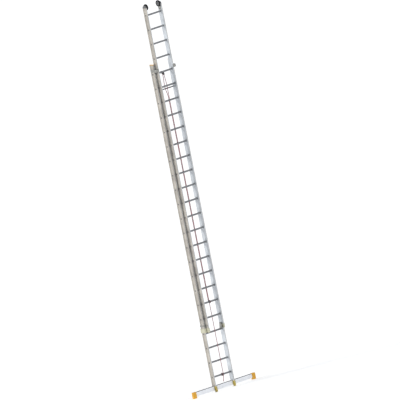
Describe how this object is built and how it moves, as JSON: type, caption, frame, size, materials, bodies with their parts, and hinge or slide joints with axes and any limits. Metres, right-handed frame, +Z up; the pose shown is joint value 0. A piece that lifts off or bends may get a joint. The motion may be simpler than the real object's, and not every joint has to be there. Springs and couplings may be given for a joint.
{
  "type": "extension ladder",
  "caption": "Two-section rope-operated aluminium extension ladder with wall rollers, rung hooks, a guide pulley and a wide traverse bar with end caps at its foot.",
  "frame": {"origin": "on the floor, midway between the base stiles and midway through their depth", "axes": "+Z up along the stiles, +X to the climber's right, -Y towards the climber, who faces the fly section"},
  "size_m": [1.585, 0.193, 7.511],
  "materials": {
    "stile_aluminium": "mill-finish extruded aluminium with fine lengthwise die lines",
    "rung_aluminium": "darker ribbed aluminium tube",
    "brace_aluminium": "dark anodised tube",
    "bar_aluminium": "bright satin box section",
    "grey_plastic": "satin grey moulding",
    "amber_plastic": "satin amber moulding",
    "boot_rubber": "olive yellow ribbed boot",
    "pale_plastic": "pale yellow nylon moulding",
    "tyre_rubber": "black non-marking tyre",
    "black_plastic": "black nylon sheave",
    "zinc_steel": "zinc-plated steel",
    "dark_steel": "black-coated pressed steel",
    "rope": "braided rope, red and grey flecks",
    "rope_knot": "tightly drawn braided rope"
  },
  "bodies": {
    "base": {"base_foot_left": "boot_rubber", "base_foot_right": "boot_rubber", "base_glide_left": "grey_plastic", "base_glide_right": "grey_plastic", "base_guide_left": "zinc_steel", "base_guide_right": "zinc_steel", "base_guide_rivets": "zinc_steel", "base_rung_plugs": "grey_plastic", "base_rungs": "rung_aluminium", "base_stile_left": "stile_aluminium", "base_stile_right": "stile_aluminium", "base_top_cap_left": "amber_plastic", "base_top_cap_right": "amber_plastic", "brace_rivets": "zinc_steel", "pulley_bracket": "dark_steel", "pulley_pin_and_clamp_bolt": "zinc_steel", "rope_end_knot": "rope_knot", "rope_haul": "rope", "rope_hitch": "rope_knot", "rope_tail": "rope", "top_cross_brace": "brace_aluminium", "traverse_bar": "bar_aluminium", "traverse_bolts": "zinc_steel", "traverse_end_cap_left": "amber_plastic", "traverse_end_cap_right": "amber_plastic", "traverse_nuts": "zinc_steel"},
    "fly": {"fly_rung_plugs": "grey_plastic", "fly_rungs": "rung_aluminium", "fly_shoe_left": "pale_plastic", "fly_shoe_right": "pale_plastic", "fly_stile_left": "stile_aluminium", "fly_stile_right": "stile_aluminium", "fly_strap_left": "zinc_steel", "fly_strap_right": "zinc_steel", "fly_strap_rivets": "zinc_steel", "fly_top_cap_left": "grey_plastic", "fly_top_cap_right": "grey_plastic", "rope_lift": "rope", "rope_knot": "rope_knot", "hook_bolts": "zinc_steel", "hook_spring_left": "zinc_steel", "hook_spring_right": "zinc_steel", "roller_axles": "zinc_steel", "roller_bolts": "zinc_steel", "roller_bracket_left": "zinc_steel", "roller_bracket_right": "zinc_steel"},
    "pulley": {"pulley_wheel": "black_plastic"},
    "roller_left": {"roller_tyre_left": "tyre_rubber", "roller_hub_left": "grey_plastic"},
    "roller_right": {"roller_tyre_right": "tyre_rubber", "roller_hub_right": "grey_plastic"},
    "hook_left": {"rung_hook_left": "zinc_steel"},
    "hook_right": {"rung_hook_right": "zinc_steel"}
  },
  "joints": [
    {"name": "fly_slide", "type": "slide", "parent": "base", "child": "fly", "axis": [0, 0, 1], "range_m": [-0.8692, 3.64], "deforming": ["rope_lift"]},
    {"name": "pulley_spin", "type": "hinge", "parent": "base", "child": "pulley", "pos_m": [-0.02, -0.038, 6.128], "axis": [0, 1, 0], "range_deg": [-3000, 12300]},
    {"name": "roller_spin_left", "type": "hinge", "parent": "fly", "child": "roller_left", "pos_m": [-0.1575, -0.072, 7.45], "axis": [1, 0, 0], "continuous": true},
    {"name": "hook_swing_left", "type": "hinge", "parent": "fly", "child": "hook_left", "pos_m": [-0.153, -0.058, 1.24], "axis": [1, 0, 0], "range_deg": [0, 40]},
    {"name": "roller_spin_right", "type": "hinge", "parent": "fly", "child": "roller_right", "pos_m": [0.1575, -0.072, 7.45], "axis": [1, 0, 0], "continuous": true},
    {"name": "hook_swing_right", "type": "hinge", "parent": "fly", "child": "hook_right", "pos_m": [0.153, -0.058, 1.24], "axis": [1, 0, 0], "range_deg": [-1, 41]}
  ],
  "couplings": [
    {"joint": "pulley_spin", "follows": "fly_slide", "rad_per_m": 58.824},
    {"joint": "hook_swing_right", "follows": "hook_swing_left", "ratio": 1}
  ]
}
